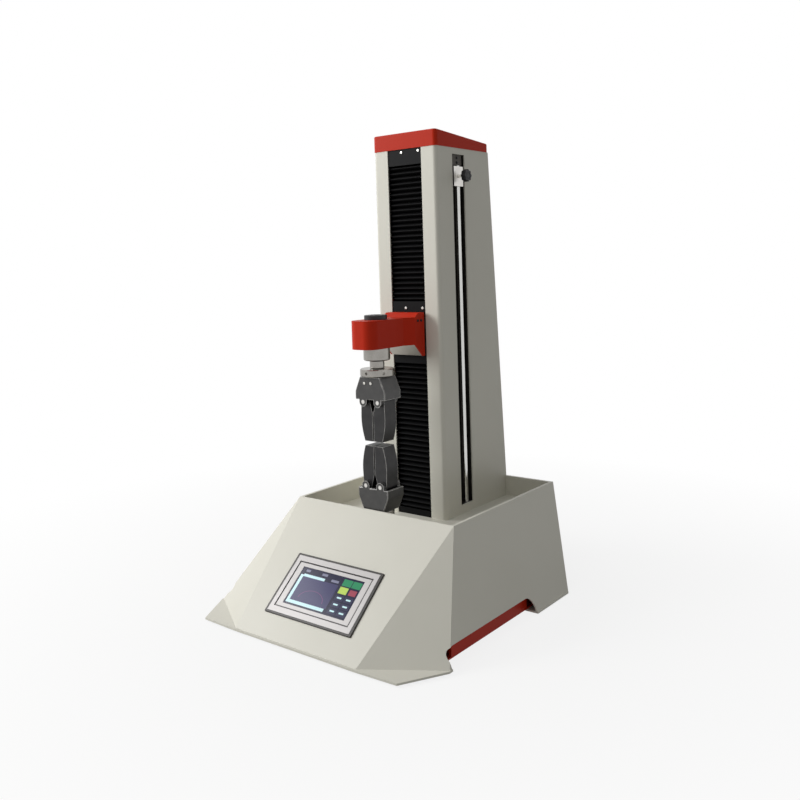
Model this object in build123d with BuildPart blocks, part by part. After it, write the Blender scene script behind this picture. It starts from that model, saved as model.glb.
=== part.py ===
"""Single-column universal testing machine with a sloping console, a crosshead on a screw and two pincer grips."""
import math
import os

from build123d import *

os.makedirs("parts", exist_ok=True)

# Overall form, in millimetres. X is to the machine's right, Y to its back, Z up from the floor.
base_depth = 672.0
rear_corner_depth = 116.0
base_width = 620.0
rim_width = 430.0
rim_height = 217.0
front_flat_width = 324.0
corner_setback = 94.0
toe_width = 518.0
toe_setback = 4.0
sheet = 3.0
foot_height = 4.0
flange_thickness = 4.0
flange_width = 60.0
frame_inset = 34.0
back_flat_width = 400.0

# Tray that the lower grip and the column stand in
tray_length = 152.35
tray_depth = 48.0
tray_rim = 7.0
tray_shaft_width = 110.0
tray_shaft_length = 76.0

# Openings along the foot of both sides, where the red frame shows
arch_start = 105.0
arch_end = 419.0
arch_height = 40.0
arch_radius = 24.0

# Touch panel on the console
panel_width = 235.0
panel_length = 141.0
panel_start = 57.0
bezel_proud = 3.0
bezel_border = 17.0
screen_inset = 1.2
panel_body_width = 200.0
panel_body_length = 108.0
panel_body_depth = 34.0

# Column
column_width = 176.0
column_foot_depth = 264.0
column_top = 1004.0
column_top_depth = 213.0
column_edge_radius = 9.0
slot_width = 95.0
cap_front_height = 37.0
cap_back_height = 20.0
cap_overhang = 1.0

# Limit rod in its channel on the right side
channel_start = 63.0
channel_width = 49.0
channel_depth = 25.0
channel_wall = 2.0
channel_foot_gap = 20.0
channel_head_gap = 14.0
limit_rod_radius = 6.0
limit_rod_offset = 10.0
rod_block_height = 24.0
stop_width = 36.0
stop_height = 45.0
stop_depth = 26.0
stop_head_gap = 27.0
knob_radius = 14.0
knob_length = 12.0
knob_reach = 15.0
knob_stem_radius = 4.0

# Drive
running_gap = 0.05
free_gap = 0.3
screw_radius = 10.0
screw_setback = 140.0
screw_foot = 116.0
pulley_height = 16.0
pulley_gap = 2.0
screw_pulley_radius = 30.0
motor_pulley_radius = 20.0
motor_shaft_radius = 6.0
motor_setback = 28.0
motor_size = 86.0
motor_height = 98.0
belt_thickness = 2.0
spine_width = 130.0
spine_setback = 167.0
spine_thickness = 20.0
rail_spacing = 80.0
rail_width = 20.0
rail_depth = 15.0
bearing_size = 36.0
bearing_height = 26.0

# Crosshead at its lowest place
grip_reach = 118.0
arm_bottom = 566.0
arm_top = 627.0
arm_width = 66.0
arm_root_width = 92.0
arm_nose_reach = 57.0
arm_nose_radius = 24.0
arm_root_length = 38.0
arm_root_bottom = 539.0
arm_root_top = 636.0
arm_wall = 4.0
gusset_run = 27.0
carriage_height = 110.0
carriage_thickness = 15.0
guide_block_width = 34.0
guide_block_height = 44.0
load_cell_radius = 29.0
load_cell_height = 31.0
stud_radius = 16.0
stud_height = 18.0
lock_ring_radius = 37.5
lock_ring_height = 16.0
plug_radius = 25.0
plug_height = 10.0

# Pincer grips
grip_gap = 3.0
tip_gap = 10.0
grip_width = 82.0
grip_head_width = 54.0
grip_depth = 56.0
grip_shoulder = 32.0
grip_height = 50.0
grip_wall = 8.0
grip_mouth_width = 72.0
pin_radius = 4.0
pin_spacing = 40.0
pin_drop = 55.0
lug_radius = 10.0
jaw_depth = 39.0
jaw_belly = 33.0
jaw_tip_width = 24.0
stand_height = 43.0
stand_flange = 8.0

# Bellows in the column's front slot
bellows_overlap = 5.0
pleat_depth = 16.0
pleat_pitch = 12.0
bellows_skin = 1.6

# Mains inlet and switch in the back of the base, and the electronics inside
inlet_width = 48.0
inlet_height = 28.0
inlet_depth = 22.0
inlet_rise = 110.0
switch_gap = 8.0
switch_width = 26.0
rocker_travel = 12.0
supply_size = (90.0, 150.0, 48.0)
board_size = (120.0, 160.0, 2.0)
board_post_height = 12.0

# Derived places
front = -base_depth / 2
back = base_depth / 2
side_end = back - rear_corner_depth
half_width = base_width / 2
tray_floor = rim_height - tray_depth
column_front = back - column_foot_depth
column_back = column_front + column_top_depth
column_foot_back = back
grip_y = column_front - grip_reach
screw_y = column_front + screw_setback
motor_y = column_front + motor_setback
spine_y = column_front + spine_setback
rail_y = spine_y - rail_depth
plate_top = foot_height + flange_thickness + sheet
channel_foot = tray_floor + channel_foot_gap
channel_head = column_top - channel_head_gap
rise = rim_height - foot_height
ridge_y = column_front - tray_length
slope = math.atan2(rise, ridge_y - front)
frame_half = half_width - 27
bellows_front = column_front + sheet + free_gap
bellows_width = slot_width + 2 * bellows_overlap
bellows_back = bellows_front + pleat_depth
bearing_front = screw_y - bearing_size / 2


def outward(*points):
    """A plane through three points, with its normal away from the middle of the base."""
    start, second, third = (Vector(*point) for point in points)
    normal = (second - start).cross(third - start).normalized()
    if normal.dot(Vector(0, 0, rim_height / 2) - start) > 0:
        normal = normal * -1
    return Plane(origin=start, z_dir=normal)


# The sloping faces of the base: console, two sides, two front corners and the back
console = outward((0, front, foot_height), (1, front, foot_height), (0, ridge_y, rim_height))
base_faces = [console]
for side in (-1, 1):
    foot = (side * half_width, front + corner_setback, foot_height)
    apex = (side * rim_width / 2, ridge_y, rim_height)
    base_faces.append(outward(foot, (side * half_width, 0, foot_height), apex))
    base_faces.append(outward((side * front_flat_width / 2, front, foot_height), foot, apex))
    rear_foot = (side * half_width, side_end, foot_height)
    rear_apex = (side * rim_width / 2, back, rim_height)
    base_faces.append(outward((side * back_flat_width / 2, back, foot_height), rear_foot, rear_apex))
back_face = outward((0, back, foot_height), (1, back, foot_height), (0, back, rim_height))

with BuildPart() as base_outside:
    with Locations((0, 0, foot_height)):
        Box(base_width, base_depth, rise, align=(Align.CENTER, Align.CENTER, Align.MIN))
    for face in base_faces:
        split(bisect_by=face, keep=Keep.BOTTOM)

with BuildPart() as base_inside:
    with Locations((0, 0, foot_height)):
        Box(base_width, base_depth, tray_floor - sheet - foot_height,
            align=(Align.CENTER, Align.CENTER, Align.MIN))
    for face in base_faces + [back_face]:
        split(bisect_by=face.offset(-sheet), keep=Keep.BOTTOM)

# Panel opening: the middle of the panel, up the slope of the console
panel_plane = Plane(origin=(0, front, foot_height), x_dir=(1, 0, 0), z_dir=console.z_dir)
panel_middle = panel_start + panel_length / 2
inlet_plane = Plane(origin=(0, back, foot_height), x_dir=(-1, 0, 0), z_dir=(0, 1, 0))
switch_x = (inlet_width + switch_width) / 2 + switch_gap

# Painted sheet-steel base with its console, corner facets, tray and toe flange
with BuildPart() as base_casing:
    add(base_outside.part)
    add(base_inside.part, mode=Mode.SUBTRACT)
    with BuildSketch(Plane.XY.offset(foot_height)):
        with BuildLine():
            right = [(toe_width / 2, front + toe_setback), (half_width, front + corner_setback),
                     (half_width, side_end), (back_flat_width / 2, back)]
            left = [(-x, y) for x, y in reversed(right)]
            Polyline(*right, *left, (-front_flat_width / 2, front), (front_flat_width / 2, front), close=True)
        make_face()
        offset(amount=-flange_width, kind=Kind.INTERSECTION, mode=Mode.SUBTRACT)
    extrude(amount=flange_thickness)
    with BuildSketch(Plane.XY.offset(tray_floor)):
        tray_start = ridge_y + tray_rim / 2
        tray_end = back - tray_rim
        with Locations((0, (tray_start + tray_end) / 2)):
            RectangleRounded(rim_width - 2 * tray_rim, tray_end - tray_start, tray_rim)
        with Locations((0, tray_end)):
            Rectangle(column_width + 2 * free_gap, 2 * tray_rim + sheet)
    extrude(amount=tray_depth, mode=Mode.SUBTRACT)
    with BuildSketch(Plane.XY.offset(tray_floor)):
        with Locations((0, screw_y)):
            Rectangle(tray_shaft_width, tray_shaft_length)
    extrude(amount=-2 * sheet, mode=Mode.SUBTRACT)
    with BuildSketch(Plane.YZ.offset(-half_width)):
        with Locations((front + (arch_start + arch_end) / 2, foot_height)):
            RectangleRounded(arch_end - arch_start, 2 * (arch_height - foot_height), arch_radius)
    extrude(amount=base_width, mode=Mode.SUBTRACT)
    with BuildSketch(panel_plane):
        with Locations((0, panel_middle)):
            Rectangle(panel_body_width + 2 * free_gap, panel_body_length + 2 * free_gap)
    extrude(amount=-2 * sheet, mode=Mode.SUBTRACT)
    with BuildSketch(inlet_plane):
        with Locations(((switch_x + switch_width / 2 - inlet_width / 2) / 2, inlet_rise)):
            Rectangle(inlet_width + switch_gap + switch_width, inlet_height)
    extrude(amount=-2 * sheet, mode=Mode.SUBTRACT)
base_casing.part.label = "base_casing"
export_step(base_casing.part, "parts/base_casing.step")

# Red inner frame: a floor plate with a rail behind each side opening
with BuildPart() as base_frame:
    with BuildSketch(Plane.XY.offset(foot_height + flange_thickness)):
        plate_corner = frame_half * front_flat_width / base_width
        with BuildLine():
            Polyline((plate_corner, front + frame_inset), (frame_half, front + corner_setback + frame_inset),
                     (frame_half, side_end - frame_inset), (-frame_half, side_end - frame_inset),
                     (-frame_half, front + corner_setback + frame_inset), (-plate_corner, front + frame_inset),
                     close=True)
        make_face()
    extrude(amount=sheet)
    with Locations([(side * (frame_half - sheet), front + arch_end, plate_top) for side in (-1, 1)]):
        Box(2 * sheet, arch_end - arch_start - frame_inset, arch_height - plate_top + sheet,
            align=(Align.CENTER, Align.MAX, Align.MIN))
base_frame.part.label = "base_frame"
export_step(base_frame.part, "parts/base_frame.step")

# Four rubber feet under the flange
foot_radius = 15.0
foot_rear_inset = 58.0
foot_side_inset = 45.0
with BuildPart() as rubber_feet:
    for side in (-1, 1):
        with Locations((side * (half_width - foot_side_inset), front + corner_setback - 2 * foot_radius, 0),
                       (side * (half_width - foot_side_inset / 2), side_end - foot_rear_inset, 0)):
            Cylinder(foot_radius, foot_height, align=(Align.CENTER, Align.CENTER, Align.MIN))
rubber_feet.part.label = "rubber_feet"
export_step(rubber_feet.part, "parts/rubber_feet.step")

# Touch panel: bezel with a window, glass screen and the housing behind it
with BuildPart() as touch_bezel:
    with BuildSketch(panel_plane):
        with Locations((0, panel_middle)):
            RectangleRounded(panel_width, panel_length, bezel_proud)
            Rectangle(panel_width - 2 * bezel_border, panel_length - 2 * bezel_border, mode=Mode.SUBTRACT)
    extrude(amount=bezel_proud)
    chamfer(touch_bezel.faces().sort_by(Axis(panel_plane.origin, panel_plane.z_dir))[-1].outer_wire().edges(),
            bezel_proud / 3)
touch_bezel.part.label = "touch_bezel"
export_step(touch_bezel.part, "parts/touch_bezel.step")

with BuildPart() as touch_screen:
    with BuildSketch(panel_plane):
        with Locations((0, panel_middle)):
            Rectangle(panel_width - 2 * bezel_border - 2 * free_gap, panel_length - 2 * bezel_border - 2 * free_gap)
    extrude(amount=bezel_proud - screen_inset)
touch_screen.part.label = "touch_screen"
export_step(touch_screen.part, "parts/touch_screen.step")

with BuildPart() as panel_housing:
    with BuildSketch(panel_plane):
        with Locations((0, panel_middle)):
            Rectangle(panel_body_width, panel_body_length)
    extrude(amount=-panel_body_depth)
panel_housing.part.label = "panel_housing"
export_step(panel_housing.part, "parts/panel_housing.step")

# Column: two sides and front lips folded from one sheet, deeper at the foot than at the top
with BuildPart() as column_cover:
    with BuildSketch(Plane.YZ):
        with BuildLine():
            Polyline((column_front, tray_floor), (column_front, column_top), (column_back, column_top),
                     (column_foot_back, tray_floor), close=True)
        make_face()
    extrude(amount=column_width / 2, both=True)
    front_edges = column_cover.edges().filter_by(Axis.Z).group_by(Axis.Y)[0]
    fillet(front_edges, column_edge_radius)
    with Locations((0, column_front + sheet, tray_floor)):
        Box(column_width - 2 * sheet, base_depth, column_top - tray_floor,
            align=(Align.CENTER, Align.MIN, Align.MIN), mode=Mode.SUBTRACT)
    with Locations((0, column_front, tray_floor)):
        Box(slot_width, 2 * column_edge_radius, column_top - tray_floor,
            align=(Align.CENTER, Align.CENTER, Align.MIN), mode=Mode.SUBTRACT)
    with Locations((column_width / 2, column_front + channel_start, channel_foot)):
        Box(4 * sheet, channel_width, channel_head - channel_foot,
            align=(Align.CENTER, Align.MIN, Align.MIN), mode=Mode.SUBTRACT)
    with Locations((0, bellows_back + free_gap, tray_floor)):
        Box(column_width - 2 * sheet, bearing_front - bellows_back - 2 * free_gap, sheet,
            align=(Align.CENTER, Align.MIN, Align.MIN))
column_cover.part.label = "column_cover"
export_step(column_cover.part, "parts/column_cover.step")

# Sloping back panel between the two sides
with BuildPart() as column_back_panel:
    with BuildSketch(Plane.YZ):
        with BuildLine():
            Polyline((column_back, column_top), (column_foot_back, tray_floor),
                     (column_foot_back - sheet, tray_floor), (column_back - sheet, column_top), close=True)
        make_face()
    extrude(amount=column_width / 2 - sheet, both=True)
column_back_panel.part.label = "column_back_panel"
export_step(column_back_panel.part, "parts/column_back_panel.step")

# Red cap, lower at the back, hollow from below
with BuildPart() as top_cap:
    with BuildSketch(Plane.YZ):
        cap_start = column_front - cap_overhang
        cap_end = column_back + cap_overhang
        with BuildLine():
            Polyline((cap_start, column_top), (cap_start, column_top + cap_front_height),
                     (cap_end, column_top + cap_back_height), (cap_end, column_top), close=True)
        make_face()
    extrude(amount=column_width / 2 + cap_overhang, both=True)
    fillet(top_cap.edges().filter_by(Axis.Z), column_edge_radius)
    fillet(top_cap.faces().sort_by(Axis.Z)[-1].edges(), sheet)
    with Locations((0, (column_front + column_back) / 2, column_top)):
        Box(column_width - 2 * column_edge_radius, column_top_depth - 2 * column_edge_radius,
            cap_back_height - 2 * sheet, align=(Align.CENTER, Align.CENTER, Align.MIN), mode=Mode.SUBTRACT)
top_cap.part.label = "top_cap"
export_step(top_cap.part, "parts/top_cap.step")

# Aluminium spine on the tray floor, with two guide rails on its front
spine_top = column_top - bearing_height
with BuildPart() as column_spine:
    with Locations((0, spine_y, tray_floor)):
        Box(spine_width, spine_thickness, spine_top - tray_floor, align=(Align.CENTER, Align.MIN, Align.MIN))
column_spine.part.label = "column_spine"
export_step(column_spine.part, "parts/column_spine.step")

rail_foot = tray_floor + bearing_height
with BuildPart() as guide_rails:
    with BuildSketch(Plane.XY.offset(rail_foot)):
        with Locations((-rail_spacing / 2, rail_y + rail_depth / 2), (rail_spacing / 2, rail_y + rail_depth / 2)):
            Rectangle(rail_width, rail_depth)
            Rectangle(rail_width + 2, rail_depth / 3, mode=Mode.SUBTRACT)
            Rectangle(rail_width - rail_depth / 3, rail_depth)
    extrude(amount=spine_top - rail_foot)
guide_rails.part.label = "guide_rails"
export_step(guide_rails.part, "parts/guide_rails.step")

# Screw with its pulley, turning in a bearing block at each end
screw_top = spine_top
with BuildPart() as ball_screw:
    with Locations((0, screw_y, screw_foot)):
        Cylinder(screw_radius, screw_top - screw_foot, align=(Align.CENTER, Align.CENTER, Align.MIN))
ball_screw.part.label = "ball_screw"
export_step(ball_screw.part, "parts/ball_screw.step")

with BuildPart() as screw_pulley:
    with Locations((0, screw_y, screw_foot)):
        Cylinder(screw_pulley_radius, pulley_height, align=(Align.CENTER, Align.CENTER, Align.MIN))
        Cylinder(screw_radius, pulley_height, align=(Align.CENTER, Align.CENTER, Align.MIN), mode=Mode.SUBTRACT)
screw_pulley.part.label = "screw_pulley"
export_step(screw_pulley.part, "parts/screw_pulley.step")

bearing_reach = spine_y - bearing_front
for name, bearing_foot in (("screw_bearing_lower", tray_floor), ("screw_bearing_upper", spine_top - bearing_height)):
    with BuildPart() as screw_bearing:
        with Locations((0, spine_y, bearing_foot)):
            Box(bearing_size, bearing_reach, bearing_height, align=(Align.CENTER, Align.MAX, Align.MIN))
        with Locations((0, screw_y, bearing_foot)):
            Cylinder(screw_radius + running_gap, bearing_height,
                     align=(Align.CENTER, Align.CENTER, Align.MIN), mode=Mode.SUBTRACT)
    screw_bearing.part.label = name
    export_step(screw_bearing.part, f"parts/{name}.step")

# Motor on the floor plate, its pulley on the shaft, and the belt round both pulleys
with BuildPart() as drive_motor:
    with Locations((0, motor_y, plate_top)):
        Box(motor_size, motor_size, motor_height, align=(Align.CENTER, Align.CENTER, Align.MIN))
    fillet(drive_motor.edges().filter_by(Axis.Z), motor_size / 12)
    with Locations((0, motor_y, plate_top + motor_height)):
        Cylinder(motor_shaft_radius + running_gap, motor_height / 2, mode=Mode.SUBTRACT)
drive_motor.part.label = "drive_motor"
export_step(drive_motor.part, "parts/drive_motor.step")

with BuildPart() as motor_pulley:
    with Locations((0, motor_y, screw_foot)):
        Cylinder(motor_pulley_radius, pulley_height, align=(Align.CENTER, Align.CENTER, Align.MIN))
    with Locations((0, motor_y, plate_top + motor_height * 3 / 4 + free_gap)):
        Cylinder(motor_shaft_radius, screw_foot - plate_top - motor_height * 3 / 4,
                 align=(Align.CENTER, Align.CENTER, Align.MIN))
motor_pulley.part.label = "motor_pulley"
export_step(motor_pulley.part, "parts/motor_pulley.step")

with BuildPart() as drive_belt:
    with BuildSketch(Plane.XY.offset(screw_foot + pulley_gap)):
        with BuildLine():
            centres = screw_y - motor_y
            lean = math.asin((screw_pulley_radius - motor_pulley_radius) / centres)
            near_radius = motor_pulley_radius + free_gap
            far_radius = screw_pulley_radius + free_gap
            near = [(side * near_radius * math.cos(lean), motor_y - near_radius * math.sin(lean)) for side in (1, -1)]
            far = [(side * far_radius * math.cos(lean), screw_y - far_radius * math.sin(lean)) for side in (1, -1)]
            Line(near[0], far[0])
            ThreePointArc(far[0], (0, screw_y + far_radius), far[1])
            Line(far[1], near[1])
            ThreePointArc(near[1], (0, motor_y - near_radius), near[0])
        make_face()
        offset(amount=belt_thickness, mode=Mode.ADD)
        with BuildLine():
            Line(near[0], far[0])
            ThreePointArc(far[0], (0, screw_y + far_radius), far[1])
            Line(far[1], near[1])
            ThreePointArc(near[1], (0, motor_y - near_radius), near[0])
        make_face(mode=Mode.SUBTRACT)
    extrude(amount=pulley_height - 2 * pulley_gap)
drive_belt.part.label = "drive_belt"
export_step(drive_belt.part, "parts/drive_belt.step")

# Electronics on the floor plate, one each side of the motor
with BuildPart() as power_supply:
    with Locations((-half_width / 2, motor_y, plate_top)):
        Box(*supply_size, align=(Align.CENTER, Align.CENTER, Align.MIN))
power_supply.part.label = "power_supply"
export_step(power_supply.part, "parts/power_supply.step")

with BuildPart() as control_board:
    with Locations((half_width / 2, motor_y, plate_top + board_post_height)):
        Box(*board_size, align=(Align.CENTER, Align.CENTER, Align.MIN))
    with Locations((half_width / 2, motor_y, plate_top)):
        with GridLocations(board_size[0] - 2 * board_post_height, board_size[1] - 2 * board_post_height, 2, 2):
            Cylinder(board_post_height / 3, board_post_height, align=(Align.CENTER, Align.CENTER, Align.MIN))
control_board.part.label = "control_board"
export_step(control_board.part, "parts/control_board.step")

# Mains inlet and rocker switch in the back
with BuildPart() as mains_inlet:
    with BuildSketch(inlet_plane):
        with Locations((0, inlet_rise)):
            Rectangle(inlet_width, inlet_height)
        with Locations((switch_x, inlet_rise)):
            Rectangle(switch_width, inlet_height)
            Rectangle(switch_width - 2 * sheet, inlet_height - 2 * sheet, mode=Mode.SUBTRACT)
        with Locations(((switch_x - switch_width / 2 + inlet_width / 2) / 2, inlet_rise)):
            Rectangle(switch_gap, inlet_height)
    extrude(amount=-inlet_depth)
    with BuildSketch(inlet_plane):
        with Locations((switch_x / 2, inlet_rise)):
            RectangleRounded(inlet_width + switch_width + 2 * switch_gap + sheet, inlet_height + 2 * sheet, sheet)
        with Locations((switch_x, inlet_rise)):
            Rectangle(switch_width - 2 * sheet, inlet_height - 2 * sheet, mode=Mode.SUBTRACT)
    extrude(amount=sheet / 2)
    with BuildSketch(inlet_plane.offset(sheet / 2)):
        with Locations((0, inlet_rise)):
            RectangleRounded(inlet_width - 4 * sheet, inlet_height - 3 * sheet, sheet)
    extrude(amount=-inlet_depth / 2, mode=Mode.SUBTRACT)
    with BuildSketch(inlet_plane.offset(sheet / 2 - inlet_depth / 2)):
        with Locations((0, inlet_rise)):
            with GridLocations(inlet_width / 5, 0, 3, 1):
                Rectangle(sheet / 2, 2 * sheet)
    extrude(amount=inlet_depth / 3)
mains_inlet.part.label = "mains_inlet"
export_step(mains_inlet.part, "parts/mains_inlet.step")

rocker_length = inlet_height - 2 * sheet - 2
rocker_width = switch_width - 2 * sheet - 2 * free_gap
with BuildPart() as power_rocker:
    with BuildSketch(Plane(origin=inlet_plane.from_local_coords((switch_x, inlet_rise, 0)),
                           x_dir=inlet_plane.y_dir, z_dir=inlet_plane.x_dir)):
        with BuildLine():
            dip = rocker_length / 2 * math.sin(math.radians(rocker_travel))
            Polyline((-rocker_length / 2 + sheet, 0), (-rocker_length / 2 + sheet / 2, -dip - sheet / 2), (0, -2),
                     (rocker_length / 2 - sheet / 2, -dip - sheet / 2), (rocker_length / 2 - sheet, 0),
                     (rocker_length / 3, sheet * 2), (-rocker_length / 3, sheet * 2), close=True)
        make_face()
    extrude(amount=rocker_width / 2, both=True)
power_rocker.part.label = "power_rocker"
export_step(power_rocker.part, "parts/power_rocker.step")

# Open channel behind the side slot, with the chromed limit rod between its two ends
channel_x = column_width / 2 - sheet
channel_y = column_front + channel_start + channel_width / 2
rod_x = channel_x - channel_wall - limit_rod_radius
rod_y = channel_y + limit_rod_offset
with BuildPart() as rod_channel:
    with Locations((channel_x, channel_y, channel_foot - channel_wall)):
        Box(channel_depth, channel_width + 2 * channel_wall, channel_head - channel_foot + 2 * channel_wall,
            align=(Align.MAX, Align.CENTER, Align.MIN))
    with Locations((channel_x, channel_y, channel_foot)):
        Box(channel_depth - channel_wall, channel_width, channel_head - channel_foot,
            align=(Align.MAX, Align.CENTER, Align.MIN), mode=Mode.SUBTRACT)
    with Locations((channel_x - channel_depth, channel_y, channel_head)):
        Box(channel_depth - channel_wall / 2, stop_width, rod_block_height,
            align=(Align.MIN, Align.CENTER, Align.MAX))
    with Locations((rod_x, rod_y, channel_head)):
        Cylinder(limit_rod_radius, rod_block_height, align=(Align.CENTER, Align.CENTER, Align.MAX),
                 mode=Mode.SUBTRACT)
rod_channel.part.label = "rod_channel"
export_step(rod_channel.part, "parts/rod_channel.step")

with BuildPart() as limit_rod:
    with Locations((rod_x, rod_y, channel_foot)):
        Cylinder(limit_rod_radius, channel_head - channel_foot, align=(Align.CENTER, Align.CENTER, Align.MIN))
limit_rod.part.label = "limit_rod"
export_step(limit_rod.part, "parts/limit_rod.step")

# Limit stop that slides on the rod, and the thumb knob that clamps it
stop_z = channel_head - stop_head_gap - stop_height / 2
stop_x = channel_x - channel_depth / 2 + channel_wall
stop_face = stop_x + stop_depth / 2
with BuildPart() as limit_stop:
    with Locations((stop_x, channel_y, stop_z)):
        Box(stop_depth - 2 * channel_wall, stop_width, stop_height)
    with Locations((rod_x, rod_y, stop_z)):
        Cylinder(limit_rod_radius + running_gap, stop_height, mode=Mode.SUBTRACT)
    with BuildSketch(Plane.YZ.offset(stop_face - channel_wall)):
        with Locations((channel_y, stop_z)):
            RectangleRounded(stop_width, stop_height, channel_wall)
    extrude(amount=channel_wall)
    with Locations(Plane(origin=(stop_face, channel_y, stop_z), z_dir=(1, 0, 0))):
        Cylinder(knob_stem_radius + running_gap, 2 * channel_wall, mode=Mode.SUBTRACT)
limit_stop.part.label = "limit_stop"
export_step(limit_stop.part, "parts/limit_stop.step")

with BuildPart() as limit_knob:
    with BuildSketch(Plane(origin=(stop_face, channel_y, stop_z), x_dir=(0, 1, 0), z_dir=(0, 0, 1))):
        with BuildLine():
            reach = -knob_reach
            Polyline((0, channel_wall - free_gap), (knob_stem_radius, channel_wall - free_gap),
                     (knob_stem_radius, reach), (knob_radius, reach - 2), (knob_radius, reach - knob_length + 3),
                     (knob_radius - 3, reach - knob_length), (0, reach - knob_length), close=True)
        make_face()
    revolve(axis=Axis((stop_face, channel_y, stop_z), (1, 0, 0)))
limit_knob.part.label = "limit_knob"
export_step(limit_knob.part, "parts/limit_knob.step")

# Carriage: a plate with four blocks round the rails, and the nut on the screw
carriage_z = (arm_bottom + arm_top) / 2
plate_back = screw_y - screw_radius - sheet
plate_front = plate_back - carriage_thickness
block_reach = rail_y - plate_back + rail_depth * 2 / 3
carriage_width = rail_spacing + guide_block_width
with BuildPart() as carriage:
    with Locations((0, plate_back, carriage_z)):
        Box(carriage_width, carriage_thickness, carriage_height, align=(Align.CENTER, Align.MAX, Align.CENTER))
    with Locations((0, plate_back, carriage_z)):
        with Locations([(x, 0, z) for x in (-rail_spacing / 2, rail_spacing / 2)
                        for z in (guide_block_height / 2 - carriage_height / 2,
                                  carriage_height / 2 - guide_block_height / 2)]):
            Box(guide_block_width, block_reach, guide_block_height,
                align=(Align.CENTER, Align.MIN, Align.CENTER))
    with Locations((-rail_spacing / 2, rail_y - free_gap, carriage_z),
                   (rail_spacing / 2, rail_y - free_gap, carriage_z)):
        Box(rail_width + 2 * free_gap, rail_depth, carriage_height,
            align=(Align.CENTER, Align.MIN, Align.CENTER), mode=Mode.SUBTRACT)
carriage.part.label = "carriage"
export_step(carriage.part, "parts/carriage.step")

nut_width = rail_spacing - guide_block_width - 2 * sheet
with BuildPart() as screw_nut:
    with Locations((0, plate_back, carriage_z)):
        Box(nut_width, spine_y - plate_back - sheet, guide_block_height,
            align=(Align.CENTER, Align.MIN, Align.CENTER))
    with Locations((0, screw_y, carriage_z)):
        Cylinder(screw_radius + running_gap, guide_block_height, mode=Mode.SUBTRACT)
screw_nut.part.label = "screw_nut"
export_step(screw_nut.part, "parts/screw_nut.step")

# Aluminium beam from the carriage out to the load cell, with a sloping gusset face below
root_start = column_front - arm_root_length
beam_half = arm_root_width / 2 - arm_wall
nose_half = arm_width / 2 - 2 * arm_wall
with BuildPart() as crosshead_beam:
    with BuildSketch(Plane.YZ):
        with BuildLine():
            Polyline((root_start, arm_bottom), (root_start, arm_top - arm_wall), (plate_front, arm_top - arm_wall),
                     (plate_front, arm_root_bottom), (root_start + gusset_run, arm_root_bottom), close=True)
        make_face()
    extrude(amount=beam_half, both=True)
    with Locations((0, grip_y - load_cell_radius, arm_bottom + arm_wall)):
        Box(2 * nose_half, root_start - grip_y + load_cell_radius, arm_top - arm_bottom - 2 * arm_wall,
            align=(Align.CENTER, Align.MIN, Align.MIN))
crosshead_beam.part.label = "crosshead_beam"
export_step(crosshead_beam.part, "parts/crosshead_beam.step")

# Red cover round the beam: a rounded nose that widens to the root, open below at the gusset
nose_front = grip_y - arm_nose_reach
cover_back = column_front - arm_wall
half = arm_width / 2
root_half = arm_root_width / 2
flare = root_half - half
with BuildPart() as arm_cover:
    with BuildSketch(Plane.XY.offset(arm_bottom)) as arm_plan:
        with BuildLine():
            Polyline((root_half, cover_back), (root_half, root_start), (half, root_start - 2 * flare),
                     (half, nose_front), (-half, nose_front), (-half, root_start - 2 * flare),
                     (-root_half, root_start), (-root_half, cover_back), close=True)
        make_face()
        corners = arm_plan.vertices().group_by(Axis.Y)
        fillet(corners[0], arm_nose_radius)
        fillet(corners[1] + corners[2], flare)
    extrude(amount=arm_top - arm_bottom)
    with BuildSketch(Plane.YZ):
        with BuildLine():
            Polyline((root_start, arm_bottom), (root_start, arm_top), (root_start + flare, arm_root_top),
                     (cover_back, arm_root_top), (cover_back, arm_root_bottom),
                     (root_start + gusset_run, arm_root_bottom), close=True)
        make_face()
    extrude(amount=root_half, both=True)
    add(crosshead_beam.part, mode=Mode.SUBTRACT)
    with Locations((0, cover_back, arm_root_bottom - arm_wall)):
        Box(2 * beam_half, cover_back - root_start, arm_bottom - arm_root_bottom + arm_wall,
            align=(Align.CENTER, Align.MAX, Align.MIN), mode=Mode.SUBTRACT)
    with Locations((0, grip_y, arm_bottom)):
        Cylinder(load_cell_radius + free_gap, arm_wall, align=(Align.CENTER, Align.CENTER, Align.MIN),
                 mode=Mode.SUBTRACT)
arm_cover.part.label = "arm_cover"
export_step(arm_cover.part, "parts/arm_cover.step")

# Load train under the nose: cap screw head on top, load cell, stud and lock ring below
load_cell_top = arm_bottom + arm_wall
load_cell_foot = load_cell_top - load_cell_height
stud_foot = load_cell_foot - stud_height
lock_ring_foot = stud_foot - lock_ring_height
with BuildPart() as arm_plug:
    with Locations((0, grip_y, arm_top)):
        Cylinder(plug_radius, plug_height, align=(Align.CENTER, Align.CENTER, Align.MIN))
    chamfer(arm_plug.faces().sort_by(Axis.Z)[-1].edges(), plug_height / 10)
    with BuildSketch(Plane.XY.offset(arm_top + plug_height)):
        with Locations((0, grip_y)):
            RegularPolygon(plug_radius / 2, 6)
    extrude(amount=-plug_height / 2, mode=Mode.SUBTRACT)
arm_plug.part.label = "arm_plug"
export_step(arm_plug.part, "parts/arm_plug.step")

with BuildPart() as load_cell:
    with Locations((0, grip_y, load_cell_foot)):
        Cylinder(load_cell_radius, load_cell_height, align=(Align.CENTER, Align.CENTER, Align.MIN))
    chamfer(load_cell.faces().sort_by(Axis.Z)[0].edges(), 2)
load_cell.part.label = "load_cell"
export_step(load_cell.part, "parts/load_cell.step")

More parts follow.
